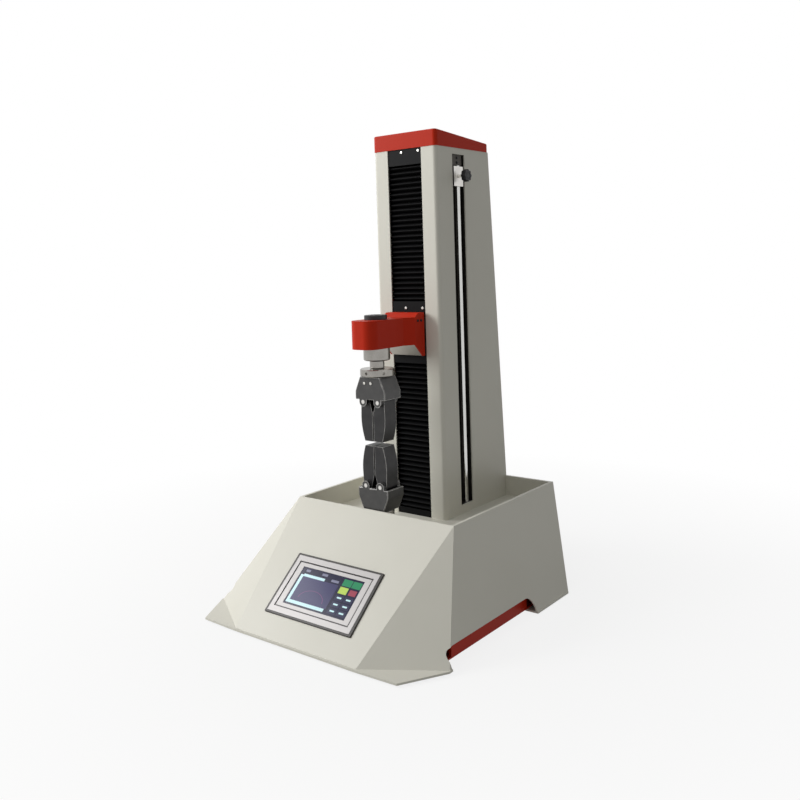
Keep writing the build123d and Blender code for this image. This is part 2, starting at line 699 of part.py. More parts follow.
with BuildPart() as load_stud:
    with Locations((0, grip_y, load_cell_foot)):
        Cylinder(stud_radius, stud_height, align=(Align.CENTER, Align.CENTER, Align.MAX))
    groove = load_stud.edges().filter_by(GeomType.CIRCLE)
    chamfer(groove, stud_radius / 8)
load_stud.part.label = "load_stud"
export_step(load_stud.part, "parts/load_stud.step")

with BuildPart() as upper_lock_ring:
    with Locations((0, grip_y, lock_ring_foot)):
        Cylinder(lock_ring_radius, lock_ring_height, align=(Align.CENTER, Align.CENTER, Align.MIN))
    chamfer(upper_lock_ring.edges().filter_by(GeomType.CIRCLE), lock_ring_height / 10)
    with Locations((0, grip_y, lock_ring_foot + lock_ring_height / 2)):
        with PolarLocations(lock_ring_radius, 6, start_angle=30):
            Cylinder(lock_ring_height / 5, lock_ring_height / 2, rotation=(0, 90, 0), mode=Mode.SUBTRACT)
upper_lock_ring.part.label = "upper_lock_ring"
export_step(upper_lock_ring.part, "parts/upper_lock_ring.step")

# Pincer grips: the lower one is the upper one turned over about the plane where the jaws meet
grip_top = lock_ring_foot
pin_z = grip_top - pin_drop
meeting = (grip_top + tray_floor + stand_height) / 2
jaw_tip = meeting + tip_gap / 2
mouth_foot = pin_z - lug_radius
meeting_plane = Plane.XY.offset(meeting)

with BuildPart() as upper_grip_body:
    with BuildSketch(Plane.XZ.offset(-grip_y)):
        with BuildLine():
            Polyline((grip_head_width / 2, grip_top), (grip_width / 2, grip_top - grip_shoulder),
                     (grip_width / 2, grip_top - grip_height), (-grip_width / 2, grip_top - grip_height),
                     (-grip_width / 2, grip_top - grip_shoulder), (-grip_head_width / 2, grip_top), close=True)
        make_face()
    extrude(amount=grip_depth / 2, both=True)
    chamfer(upper_grip_body.edges(), grip_wall / 6)
    with Locations((-pin_spacing / 2, grip_y, pin_z), (pin_spacing / 2, grip_y, pin_z)):
        Cylinder(lug_radius, grip_depth, rotation=(90, 0, 0))
        Box(2 * lug_radius, grip_depth, pin_drop - grip_shoulder, align=(Align.CENTER, Align.CENTER, Align.MIN))
    with Locations((0, grip_y, mouth_foot)):
        Box(grip_mouth_width, jaw_depth + 2 * free_gap, grip_top - 3 * grip_wall - mouth_foot,
            align=(Align.CENTER, Align.CENTER, Align.MIN), mode=Mode.SUBTRACT)
    with Locations((-pin_spacing / 2, grip_y, pin_z), (pin_spacing / 2, grip_y, pin_z)):
        Cylinder(pin_radius, grip_depth, rotation=(90, 0, 0), mode=Mode.SUBTRACT)
upper_grip_body.part.label = "upper_grip_body"
export_step(upper_grip_body.part, "parts/upper_grip_body.step")

with BuildPart() as upper_grip_pins:
    with Locations((-pin_spacing / 2, grip_y, pin_z), (pin_spacing / 2, grip_y, pin_z)):
        Cylinder(pin_radius, grip_depth, rotation=(90, 0, 0))
upper_grip_pins.part.label = "upper_grip_pins"
export_step(upper_grip_pins.part, "parts/upper_grip_pins.step")

# Jaw arm: an eye on the pin, a full belly below it and a narrow tip with a flat gripping face
eye_radius = pin_radius + grip_wall
belly_z = (pin_z + jaw_tip) / 2
with BuildPart() as upper_jaw_right:
    with BuildSketch(Plane.XZ.offset(-grip_y)):
        with BuildLine():
            eye_x = pin_spacing / 2
            Polyline((eye_x - eye_radius, pin_z), (grip_gap / 2, pin_z - 2 * eye_radius),
                     (grip_gap / 2, jaw_tip), (jaw_tip_width, jaw_tip))
            Spline((jaw_tip_width, jaw_tip), (jaw_belly, belly_z), (eye_x + eye_radius, pin_z),
                   tangents=((1, 3), (0, 1)))
            ThreePointArc((eye_x + eye_radius, pin_z), (eye_x, pin_z + eye_radius), (eye_x - eye_radius, pin_z))
        make_face()
    extrude(amount=jaw_depth / 2, both=True)
    with Locations((eye_x, grip_y, pin_z)):
        Cylinder(pin_radius + running_gap, jaw_depth, rotation=(90, 0, 0), mode=Mode.SUBTRACT)
upper_jaw_right.part.label = "upper_jaw_right"
export_step(upper_jaw_right.part, "parts/upper_jaw_right.step")

with BuildPart() as upper_jaw_left:
    add(mirror(upper_jaw_right.part, about=Plane.YZ, mode=Mode.PRIVATE))
upper_jaw_left.part.label = "upper_jaw_left"
export_step(upper_jaw_left.part, "parts/upper_jaw_left.step")

for name, upper in (("lower_grip_body", upper_grip_body), ("lower_grip_pins", upper_grip_pins),
                    ("lower_jaw_right", upper_jaw_right), ("lower_jaw_left", upper_jaw_left)):
    with BuildPart() as lower:
        add(mirror(upper.part, about=meeting_plane, mode=Mode.PRIVATE))
    lower.part.label = name
    export_step(lower.part, f"parts/{name}.step")

# The lower grip stands on a flanged stud in the tray, under a lock ring that clears the console's back wall
lower_ring_foot = tray_floor + stand_height - lock_ring_height
with BuildPart() as lower_stud:
    with Locations((0, grip_y, tray_floor)):
        Cylinder(grip_depth / 2, stand_flange, align=(Align.CENTER, Align.CENTER, Align.MIN))
        Cylinder(stud_radius, lower_ring_foot - tray_floor, align=(Align.CENTER, Align.CENTER, Align.MIN))
    chamfer(lower_stud.faces().sort_by(Axis.Z)[-1].edges(), stud_radius / 8)
lower_stud.part.label = "lower_stud"
export_step(lower_stud.part, "parts/lower_stud.step")

with BuildPart() as lower_lock_ring:
    with Locations((0, grip_y, lower_ring_foot)):
        Cylinder(grip_depth / 2, lock_ring_height, align=(Align.CENTER, Align.CENTER, Align.MIN))
    chamfer(lower_lock_ring.edges().filter_by(GeomType.CIRCLE), lock_ring_height / 10)
lower_lock_ring.part.label = "lower_lock_ring"
export_step(lower_lock_ring.part, "parts/lower_lock_ring.step")

# Pleated bellows above and below the crosshead, each one folded strip
for name, low, high in (("bellows_upper", arm_root_top, column_top), ("bellows_lower", tray_floor, arm_root_bottom)):
    pleats = round((high - low) / pleat_pitch)
    pitch = (high - low) / pleats
    outer = []
    for fold in range(2 * pleats + 1):
        outer.append((bellows_front if fold % 2 else bellows_back - bellows_skin, low + fold * pitch / 2))
    inner = [(y + bellows_skin, z) for y, z in reversed(outer)]
    with BuildPart() as bellows:
        with BuildSketch(Plane.YZ):
            with BuildLine():
                Polyline(*outer, *inner, close=True)
            make_face()
        extrude(amount=bellows_width / 2, both=True)
    bellows.part.label = name
    export_step(bellows.part, f"parts/{name}.step")
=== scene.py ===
"""Looks of a single-column universal testing machine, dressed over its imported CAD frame."""
import math

import bmesh
import bpy
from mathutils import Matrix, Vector


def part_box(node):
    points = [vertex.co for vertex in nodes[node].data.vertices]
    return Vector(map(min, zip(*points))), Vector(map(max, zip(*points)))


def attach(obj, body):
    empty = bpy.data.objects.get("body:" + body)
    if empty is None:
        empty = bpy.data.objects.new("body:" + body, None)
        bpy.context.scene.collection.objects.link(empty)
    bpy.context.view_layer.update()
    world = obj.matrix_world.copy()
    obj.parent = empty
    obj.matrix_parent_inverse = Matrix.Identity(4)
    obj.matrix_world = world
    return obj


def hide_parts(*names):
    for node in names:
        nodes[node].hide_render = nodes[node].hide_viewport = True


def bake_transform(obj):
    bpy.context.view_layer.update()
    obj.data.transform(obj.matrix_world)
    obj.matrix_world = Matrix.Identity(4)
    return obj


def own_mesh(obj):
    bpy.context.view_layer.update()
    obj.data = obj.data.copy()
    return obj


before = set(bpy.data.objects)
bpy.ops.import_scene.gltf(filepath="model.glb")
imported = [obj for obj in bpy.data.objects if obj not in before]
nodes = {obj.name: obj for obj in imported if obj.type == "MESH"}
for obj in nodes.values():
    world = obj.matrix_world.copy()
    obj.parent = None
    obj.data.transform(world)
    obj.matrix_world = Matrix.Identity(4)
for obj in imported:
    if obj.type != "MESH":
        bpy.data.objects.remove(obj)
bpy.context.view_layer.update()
mm = 0.001


# Base casing and column covers. Folded steel sheet, welded and ground at the corners,
# then sprayed with warm white powder paint and baked.
def linear(colour):
    """An sRGB hex colour as linear red, green, blue and alpha."""
    parts = [int(colour[at:at + 2], 16) / 255 for at in (1, 3, 5)]
    return [part / 12.92 if part <= 0.04045 else ((part + 0.055) / 1.055) ** 2.4 for part in parts] + [1.0]


def add(material, kind, inputs=None, **settings):
    """Adds one shader node; an input is a value, or another node's socket to link."""
    made = material.node_tree.nodes.new(kind)
    for name, value in settings.items():
        setattr(made, name, value)
    for name, value in (inputs or {}).items():
        if isinstance(value, bpy.types.NodeSocket):
            material.node_tree.links.new(value, made.inputs[name])
        else:
            made.inputs[name].default_value = value
    return made


def new_material(name):
    """An empty material and the Object coordinates that its patterns read."""
    material = bpy.data.materials.new(name)
    material.use_nodes = True
    material.node_tree.nodes.clear()
    return material, add(material, "ShaderNodeTexCoord").outputs["Object"]


def finish_surface(material, **inputs):
    """Ends a material in one principled shader; underscores in a name stand for spaces."""
    shader = add(material, "ShaderNodeBsdfPrincipled",
                 {name.replace("_", " "): value for name, value in inputs.items()})
    add(material, "ShaderNodeOutputMaterial", {"Surface": shader.outputs["BSDF"]})
    return material


def dress(material, *names):
    """Gives CAD nodes a finished material in their own slot."""
    for name in names:
        nodes[name].data.materials[0] = material


def powder_coat(name, colour, shade, roughness, gleam):
    """Baked powder paint: an orange-peel skin with grains near 1.4 mm, and a faint cloudiness."""
    material, place = new_material(name)
    peel = add(material, "ShaderNodeTexNoise", {"Vector": place, "Scale": 1 / (1.4 * mm), "Detail": 2.0})
    cloud = add(material, "ShaderNodeTexNoise", {"Vector": place, "Scale": 1 / (160 * mm), "Detail": 3.0})
    tint = add(material, "ShaderNodeMix", {0: cloud.outputs[0], 6: linear(colour), 7: linear(shade)},
               data_type="RGBA")
    gloss = add(material, "ShaderNodeMapRange",
                {"Value": peel.outputs[0], "To Min": roughness - 0.06, "To Max": roughness + 0.06})
    bump = add(material, "ShaderNodeBump",
               {"Height": peel.outputs[0], "Strength": 0.12, "Distance": 0.25 * mm})
    return finish_surface(material, Base_Color=tint.outputs[2], Roughness=gloss.outputs[0],
                          Normal=bump.outputs[0], IOR=1.5, Specular_IOR_Level=gleam)


warm_white = powder_coat("warm_white_powder_coat", "#D9D7CC", "#D1CFC3", 0.45, 0.35)
dress(warm_white, "base_casing", "column_cover", "column_back_panel")


# Red frame under the base, arm cover and top cap. The same folded sheet and baked powder,
# in a signal red with a closer skin.
signal_red = powder_coat("signal_red_powder_coat", "#C22F16", "#B42711", 0.44, 0.1)
dress(signal_red, "base_frame", "arm_cover", "top_cap")


# Rubber feet, and the toothed belt inside the base. Moulded black rubber with a dull,
# slightly dusty skin.
def moulded(name, colour, dust, grain, roughness, relief):
    """Moulded plastic or rubber: a fine spark-eroded grain, and dust that lightens it in patches."""
    material, place = new_material(name)
    texture = add(material, "ShaderNodeTexVoronoi", {"Vector": place, "Scale": 1 / grain})
    patch = add(material, "ShaderNodeTexNoise", {"Vector": place, "Scale": 1 / (30 * mm), "Detail": 4.0})
    tint = add(material, "ShaderNodeMix", {0: patch.outputs[0], 6: linear(colour), 7: linear(dust)},
               data_type="RGBA")
    gloss = add(material, "ShaderNodeMapRange",
                {"Value": patch.outputs[0], "To Min": roughness - 0.08, "To Max": roughness + 0.08})
    bump = add(material, "ShaderNodeBump",
               {"Height": texture.outputs[0], "Strength": relief, "Distance": 0.15 * mm})
    return finish_surface(material, Base_Color=tint.outputs[2], Roughness=gloss.outputs[0],
                          Normal=bump.outputs[0], IOR=1.5, Specular_IOR_Level=0.35)


dress(moulded("black_rubber", "#1B1B1B", "#262524", 1.6 * mm, 0.75, 0.25), "rubber_feet", "drive_belt")


# Mains inlet and its rocker in the back of the base, the arm's plug and the panel's box.
# Injection-moulded black ABS with a fine spark-eroded grain.
black_abs = moulded("black_abs", "#141416", "#1D1D1F", 0.9 * mm, 0.42, 0.15)
dress(black_abs, "mains_inlet", "power_rocker", "arm_plug", "panel_housing", "limit_knob")


# Touch panel bezel. A black ABS frame, moulded in one piece with a fine grain
# and pressed into the console's cut-out.
dress(moulded("bezel_abs", "#221E1B", "#2E2925", 0.7 * mm, 0.35, 0.12), "touch_bezel")


# Touch screen. A dark glass over the display, bonded behind the bezel.
# Fingers leave faint smears on it, which break up its gloss.
material, place = new_material("screen_glass")
smear = add(material, "ShaderNodeTexNoise", {"Vector": place, "Scale": 1 / (18 * mm), "Detail": 5.0,
                                             "Distortion": 1.5})
gloss = add(material, "ShaderNodeMapRange", {"Value": smear.outputs[0], "To Min": 0.05, "To Max": 0.16})
dress(finish_surface(material, Base_Color=linear("#101320"), Roughness=gloss.outputs[0], IOR=1.52,
                     Coat_Weight=0.4), "touch_screen")


# Faceplate of the touch panel. A silver polycarbonate sheet with a dark scribed line,
# cut to frame the display and glued on the glass inside the bezel.
console_slope = math.radians(39.8)
panel_low, panel_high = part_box("touch_screen")
panel_middle = (panel_low + panel_high) / 2
screen_thickness = 1.8 * mm
screen_width = panel_high.x - panel_low.x
thickness_in_plan = screen_thickness * math.sin(console_slope)
screen_length = (panel_high.y - panel_low.y - thickness_in_plan) / math.cos(console_slope)


def on_screen(across, along, rise):
    """A point over the screen from its middle: across, along up the slope, and rise off the glass."""
    up_slope = Vector((0, math.cos(console_slope), math.sin(console_slope)))
    outward = Vector((0, -math.sin(console_slope), math.cos(console_slope)))
    lift = outward * (screen_thickness / 2 + rise)
    return panel_middle + Vector((across, 0, 0)) + up_slope * along + lift


def tidy_selection():
    """Leaves nothing selected, so that the next operator acts on its own piece alone."""
    if bpy.context.object and bpy.context.object.mode != "OBJECT":
        bpy.ops.object.mode_set(mode="OBJECT")
    bpy.ops.object.select_all(action="DESELECT")


def pick(piece, kind, test):
    """In edit mode, selects only the faces, edges or verts whose middle and direction pass a test."""
    bpy.ops.mesh.select_mode(type={"faces": "FACE", "edges": "EDGE", "verts": "VERT"}[kind])
    bpy.ops.mesh.select_all(action="DESELECT")
    mesh = bmesh.from_edit_mesh(piece.data)
    for part in getattr(mesh, kind):
        if kind == "verts":
            middle, direction = part.co, part.normal
        elif kind == "edges":
            start, end = part.verts
            middle, direction = (start.co + end.co) / 2, start.co - end.co
        else:
            middle, direction = part.calc_center_median(), part.normal
        part.select_set(bool(test(middle, direction)))
    mesh.select_flush_mode()
    bmesh.update_edit_mesh(piece.data)


def settle(piece, name, material, body, angle=35):
    """Puts the piece's place into its mesh, names and dresses it, and hangs it on its body."""
    tidy_selection()
    piece.select_set(True)
    bpy.context.view_layer.objects.active = piece
    bpy.ops.object.transform_apply(location=True, rotation=True, scale=True)
    bpy.ops.object.shade_smooth_by_angle(angle=math.radians(angle))
    piece.name = name
    piece.data.materials.clear()
    piece.data.materials.append(material)
    if body:
        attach(piece, body)
    return piece


def thin_plate(width, length, thickness, corner, place, tilt, border=None):
    """A thin sheet with rounded corners, or a frame of it where a border across and along is given.
    It lies flat before its tilt about X, which stands it up or lays it on a slope."""
    tidy_selection()
    bpy.ops.mesh.primitive_plane_add(size=1)
    plate = bpy.context.object
    plate.scale = (width, length, 1)
    bpy.ops.object.transform_apply(scale=True)
    bpy.ops.object.mode_set(mode="EDIT")
    bpy.ops.mesh.select_all(action="SELECT")
    if border:
        bpy.ops.mesh.inset(thickness=border[1])
        narrowing = (width - 2 * border[0]) / (width - 2 * border[1])
        bpy.ops.transform.resize(value=(narrowing, 1, 1), center_override=(0, 0, 0))
        bpy.ops.mesh.delete(type="FACE")
    else:
        bpy.ops.mesh.bevel(offset=corner, segments=4, affect="VERTICES")
    bpy.ops.mesh.select_all(action="SELECT")
    bpy.ops.mesh.extrude_region_move(TRANSFORM_OT_translate={"value": (0, 0, thickness)})
    bpy.ops.mesh.select_all(action="SELECT")
    bpy.ops.mesh.normals_make_consistent(inside=False)
    bpy.ops.object.mode_set(mode="OBJECT")
    plate.location = place
    plate.rotation_euler.x = tilt
    return plate


material, place = new_material("silver_polycarbonate")
sheen = add(material, "ShaderNodeTexNoise", {"Vector": place, "Scale": 1 / (0.5 * mm), "Detail": 1.0})
bump = add(material, "ShaderNodeBump",
           {"Height": sheen.outputs[0], "Strength": 0.06, "Distance": 0.05 * mm})
silver_face = finish_surface(material, Base_Color=linear("#B3B0AF"), Metallic=0.2, Roughness=0.38,
                             Normal=bump.outputs[0], Specular_IOR_Level=0.2)
scribed_ink = moulded("scribed_line_ink", "#1A1716", "#221E1C", 1.0 * mm, 0.4, 0.1)
screen_inset = 1.2 * mm
edge_gap = 0.5 * mm
bezel_low, bezel_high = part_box("touch_bezel")
bezel_border = (bezel_high.x - bezel_low.x - screen_width) / 2
rim = (6.5 * mm, 5 * mm)
outer_border = (bezel_border - edge_gap - rim[0], bezel_border - edge_gap - rim[1])
outer_width = screen_width + 2 * (edge_gap + outer_border[0])
outer_length = screen_length + 2 * (edge_gap + outer_border[1])
outer_thickness = 0.4 * mm
outer_ring = thin_plate(outer_width, outer_length, outer_thickness, 0, on_screen(0, 0, screen_inset),
                        console_slope, outer_border)
settle(outer_ring, "faceplate_outer", silver_face, "frame")
line_border = (2 * mm, 1.8 * mm)
inner_border = (13.8 * mm, 7.6 * mm)
ring_width, ring_length = screen_width - 2 * edge_gap, screen_length - 2 * edge_gap
for name, border, finish, thickness in (("faceplate_line", line_border, scribed_ink, 0.5 * mm),
                                        ("faceplate_inner", inner_border, silver_face, 0.8 * mm)):
    ring = thin_plate(ring_width, ring_length, thickness, 0, on_screen(0, 0, 0), console_slope, border)
    settle(ring, name, finish, "frame")
    ring_width -= 2 * border[0]
    ring_length -= 2 * border[1]


# Display behind the glass. A lit panel that shows a graph in a pale blue frame, three readings
# and a block of coloured keys; each patch is given as left, top, right and bottom shares of the display.
def glowing(name, colour, strength):
    """A patch of the lit display: one colour, broken by a grid of display dots 0.8 mm apart."""
    material, place = new_material(name)
    dim = [part * 0.86 for part in linear(colour)[:3]] + [1.0]
    dots = add(material, "ShaderNodeTexChecker",
               {"Vector": place, "Scale": 1 / (0.8 * mm), "Color1": linear(colour), "Color2": dim})
    return finish_surface(material, Base_Color=dots.outputs[0], Emission_Color=dots.outputs[0],
                          Emission_Strength=strength, Roughness=0.15, Specular_IOR_Level=0.12)


display_width, display_length = ring_width, ring_length
display_layer = 0.2 * mm
display_corner = 0.4 * mm
display_back = thin_plate(display_width, display_length, display_layer, display_corner, on_screen(0, 0, 0),
                          console_slope)
settle(display_back, "display_back", glowing("display_navy", "#2A2A40", 0.25), "frame")
display_colours = {"violet": "#403F62", "pale_blue": "#C3E2E8", "grey": "#7E7F95", "green": "#35875F",
                   "lime": "#B4CC62", "red": "#9A4A59", "slate": "#353750"}
display_patches = [
    ("graph_field", "violet", 0.07, 0.24, 0.66, 0.87),
    ("graph_frame_left", "pale_blue", 0.025, 0.2, 0.07, 0.95),
    ("graph_frame_foot", "pale_blue", 0.07, 0.87, 0.64, 0.95),
    ("graph_frame_head", "pale_blue", 0.07, 0.17, 0.42, 0.24),
    ("reading_first", "grey", 0.07, 0.05, 0.14, 0.11),
    ("reading_second", "grey", 0.34, 0.05, 0.43, 0.11),
    ("reading_third", "grey", 0.52, 0.14, 0.64, 0.2),
    ("key_start", "green", 0.7, 0.05, 0.84, 0.22),
    ("key_return", "green", 0.85, 0.05, 0.985, 0.22),
    ("key_set", "lime", 0.7, 0.25, 0.83, 0.42),
    ("key_stop", "red", 0.86, 0.27, 0.97, 0.41),
]
first_key = (0.7, 0.46)
key_step = (0.145, 0.17)
key_size = (0.13, 0.14)
key_sign = (0.03, 0.045, 0.1, 0.085)
for row in range(3):
    for column in range(2):
        left = first_key[0] + key_step[0] * column
        top = first_key[1] + key_step[1] * row
        display_patches.append((f"key_{row}_{column}", "slate", left, top,
                                left + key_size[0], top + key_size[1]))
        display_patches.append((f"key_sign_{row}_{column}", "pale_blue", left + key_sign[0],
                                top + key_sign[1], left + key_sign[2], top + key_sign[3]))
display_glow = 0.3
display_finish = {tone: glowing(f"display_{tone}", colour, display_glow)
                  for tone, colour in display_colours.items()}
patch_corner = 0.8 * mm
patch_layer = 0.15 * mm
sign_layer = 0.3 * mm
for name, tone, left, top, right, bottom in display_patches:
    across = ((left + right) / 2 - 0.5) * display_width
    along = (0.5 - (top + bottom) / 2) * display_length
    patch = thin_plate((right - left) * display_width, (bottom - top) * display_length,
                       sign_layer if "sign" in name else patch_layer, patch_corner,
                       on_screen(across, along, display_layer), console_slope)
    settle(patch, name, display_finish[tone], "frame")

curve_reach = (0.2 * display_width, 0.24 * display_length)
curve_place = on_screen(-0.13 * display_width, -0.27 * display_length, 0.3 * mm)
curve_inner = 0.95
curve_layer = 0.1 * mm
tidy_selection()
bpy.ops.mesh.primitive_circle_add(vertices=64, radius=1)
curve = bpy.context.object
bpy.ops.object.mode_set(mode="EDIT")
pick(curve, "verts", lambda spot, normal: spot.y < -0.01)
bpy.ops.mesh.delete(type="VERT")
bpy.ops.mesh.select_all(action="SELECT")
bpy.ops.mesh.extrude_region_move()
bpy.ops.transform.resize(value=(curve_inner, curve_inner, 1), center_override=(0, 0, 0))
bpy.ops.mesh.select_all(action="SELECT")
bpy.ops.mesh.extrude_region_move(TRANSFORM_OT_translate={"value": (0, 0, curve_layer)})
bpy.ops.mesh.select_all(action="SELECT")
bpy.ops.mesh.normals_make_consistent(inside=False)
bpy.ops.object.mode_set(mode="OBJECT")
curve.scale = (*curve_reach, 1)
curve.rotation_euler.x = console_slope
curve.location = curve_place
settle(curve, "graph_curve", glowing("display_magenta", "#6C4470", display_glow), "frame")


# Metals. Turned, milled, ground and plated pieces of the drive, the crosshead and the load train.
# The tools leave fine parallel lines, which draw out each highlight.
def brushed_metal(name, colour, shade, roughness, line, direction):
    """Machined metal: fine tool lines along one direction, which stretch its highlights."""
    material, place = new_material(name)
    stretch = [1 / (line * (40 if axis == direction else 1)) for axis in range(3)]
    turned = add(material, "ShaderNodeMapping", {"Vector": place, "Scale": stretch})
    lines = add(material, "ShaderNodeTexNoise", {"Vector": turned.outputs[0], "Scale": 1.0, "Detail": 3.0})
    patch = add(material, "ShaderNodeTexNoise", {"Vector": place, "Scale": 1 / (25 * mm), "Detail": 3.0})
    tint = add(material, "ShaderNodeMix", {0: patch.outputs[0], 6: linear(colour), 7: linear(shade)},
               data_type="RGBA")
    gloss = add(material, "ShaderNodeMapRange",
                {"Value": lines.outputs[0], "To Min": roughness - 0.08, "To Max": roughness + 0.1})
    bump = add(material, "ShaderNodeBump",
               {"Height": lines.outputs[0], "Strength": 0.12, "Distance": 0.08 * mm})
    return finish_surface(material, Base_Color=tint.outputs[2], Metallic=1.0, Roughness=gloss.outputs[0],
                          Normal=bump.outputs[0])


across_x, along_y, up_z = range(3)
aluminium = brushed_metal("milled_aluminium", "#B9B5AE", "#A39E96", 0.38, 0.8 * mm, along_y)
dress(aluminium, "crosshead_beam", "carriage", "column_spine", "motor_pulley", "screw_pulley",
      "screw_bearing_lower", "screw_bearing_upper", "power_supply")
turned_steel = brushed_metal("turned_steel", "#A6A39E", "#85827D", 0.24, 0.6 * mm, across_x)
dress(turned_steel, "load_cell", "load_stud", "upper_lock_ring", "lower_lock_ring", "lower_stud",
      "guide_rails", "ball_screw", "screw_nut")
ground_steel = brushed_metal("ground_steel", "#DAD8D4", "#C6C3BE", 0.34, 0.5 * mm, up_z)
dress(ground_steel, "limit_stop", "upper_grip_pins", "lower_grip_pins")
dress(brushed_metal("hard_chrome", "#D3D3D1", "#BDBDBA", 0.14, 0.7 * mm, up_z), "limit_rod")
dress(brushed_metal("anodised_channel", "#45423F", "#35332F", 0.45, 0.9 * mm, up_z), "rod_channel")


# Grips and the motor's housing. Cast and milled steel, blackened in an oxide bath.
# Handling wears the oxide off along the edges, where bright steel shows; the edges are also painted lighter
# as a highlight.
def blackened_steel(name, colour, shade, worn_and_highlit_edge_colour, roughness, edge_width):
    """Black oxide on cast steel: a pebbled grey skin, with bright edges that are partly worn steel and
    partly a painted highlight.
    """
    material, place = new_material(name)
    pebble = add(material, "ShaderNodeTexNoise", {"Vector": place, "Scale": 1 / (1.8 * mm), "Detail": 3.0})
    patch = add(material, "ShaderNodeTexNoise", {"Vector": place, "Scale": 1 / (14 * mm), "Detail": 4.0})
    skin = add(material, "ShaderNodeMix", {0: patch.outputs[0], 6: linear(colour), 7: linear(shade)},
               data_type="RGBA")
    rounded = add(material, "ShaderNodeBevel", {"Radius": edge_width}, samples=6)
    flat = add(material, "ShaderNodeNewGeometry")
    facing = add(material, "ShaderNodeVectorMath", {0: rounded.outputs[0], 1: flat.outputs["Normal"]},
                 operation="DOT_PRODUCT")
    # The pale edge band is partly worn steel and partly a painted highlight along every edge.
    edge = add(material, "ShaderNodeMapRange",
               {"Value": facing.outputs["Value"], "From Min": 0.99, "From Max": 0.9,
                "To Min": 0.0, "To Max": 1.4})
    wear_and_highlight = add(material, "ShaderNodeMath", {0: edge.outputs[0], 1: patch.outputs[0]}, operation="MULTIPLY",
               use_clamp=True)
    tint = add(material, "ShaderNodeMix", {0: wear_and_highlight.outputs[0], 6: skin.outputs[2], 7: linear(worn_and_highlit_edge_colour)},
               data_type="RGBA")
    bump = add(material, "ShaderNodeBump",
               {"Height": pebble.outputs[0], "Strength": 0.22, "Distance": 0.2 * mm})
    return finish_surface(material, Base_Color=tint.outputs[2], Metallic=0.8, Roughness=roughness,
                          Normal=bump.outputs[0])


grip_steel = blackened_steel("black_oxide_steel", "#424242", "#545352", "#E4E2DE", 0.4, 2.0 * mm)
dress(grip_steel, "upper_grip_body", "lower_grip_body", "drive_motor")
jaw_steel = blackened_steel("black_oxide_jaw_steel", "#2E2E2F", "#414040", "#C9C7C3", 0.42, 1.6 * mm)
dress(jaw_steel, "upper_jaw_right", "upper_jaw_left", "lower_jaw_right", "lower_jaw_left")


# Control board inside the base. Green epoxy sheet, etched and varnished,
# with a fine glass weave that shows through.
material, place = new_material("glass_epoxy_board")
weave = add(material, "ShaderNodeTexChecker", {"Vector": place, "Scale": 1 / (0.6 * mm),
                                               "Color1": linear("#1C5A34"), "Color2": linear("#22653C")})
dress(finish_surface(material, Base_Color=weave.outputs[0], Roughness=0.3, IOR=1.5), "control_board")


# Bellows that close the column's slot above and below the arm. Black coated cloth, folded in pleats and
# glued at the folds; the upper one squeezes up and the lower one draws out as the arm rises.
def pleated_sheet(node, pleat_pitch):
    """A sheet in the place of a CAD bellows, with every other row of its grid drawn back into a fold."""
    low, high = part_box(node)
    cloth = 1.2 * mm
    rows = 2 * round((high.z - low.z) / pleat_pitch)
    tidy_selection()
    bpy.ops.mesh.primitive_grid_add(x_subdivisions=8, y_subdivisions=rows, size=1)
    sheet = bpy.context.object
    sheet.scale = (high.x - low.x, high.z - low.z, 1)
    sheet.rotation_euler.x = math.radians(90)
    bpy.ops.object.transform_apply(scale=True, rotation=True)
    sheet.location = (0, low.y + cloth, (low.z + high.z) / 2)
    bpy.ops.object.transform_apply(location=True)
    bpy.ops.object.mode_set(mode="EDIT")
    step = (high.z - low.z) / rows
    pick(sheet, "verts", lambda spot, normal: round((spot.z - low.z) / step) % 2 == 0)
    bpy.ops.transform.translate(value=(0, high.y - low.y - 2 * cloth, 0))
    pick(sheet, "edges", lambda spot, run: abs(run.x) > abs(run.z) + abs(run.y))
    bpy.ops.mesh.bevel(offset=1.1 * mm, segments=3, affect="EDGES")
    bpy.ops.object.mode_set(mode="OBJECT")
    wall = sheet.modifiers.new("wall", "SOLIDIFY")
    wall.thickness = cloth
    wall.offset = 0
    bpy.ops.object.modifier_apply(modifier="wall")
    return sheet


# Coated polyester: a close weave, drawn 6 mm apart so that it shows, under a dull black skin.
material, place = new_material("coated_bellows_cloth")
weave = add(material, "ShaderNodeTexWave", {"Vector": place, "Scale": 1 / (20 * mm), "Distortion": 0.6},
            bands_direction="X")
patch = add(material, "ShaderNodeTexNoise", {"Vector": place, "Scale": 1 / (22 * mm), "Detail": 4.0})
tint = add(material, "ShaderNodeMix", {0: patch.outputs[0], 6: linear("#070708"), 7: linear("#0E0E0F")},
           data_type="RGBA")
bump = add(material, "ShaderNodeBump", {"Height": weave.outputs[1], "Strength": 0.1, "Distance": 0.1 * mm})
bellows_cloth = finish_surface(material, Base_Color=tint.outputs[2], Roughness=0.6, Normal=bump.outputs[0],
                               Specular_IOR_Level=0.1)
pleat_pitch = 12 * mm
upper_low, upper_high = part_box("bellows_upper")
lower_low, lower_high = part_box("bellows_lower")
upper_bellows = settle(pleated_sheet("bellows_upper", pleat_pitch), "bellows_upper_cloth", bellows_cloth,
                       "frame", 50)
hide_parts("bellows_upper")
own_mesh(upper_bellows)
lower_bellows = settle(pleated_sheet("bellows_lower", pleat_pitch), "bellows_lower_cloth", bellows_cloth,
                       None, 50)
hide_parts("bellows_lower")
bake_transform(lower_bellows)


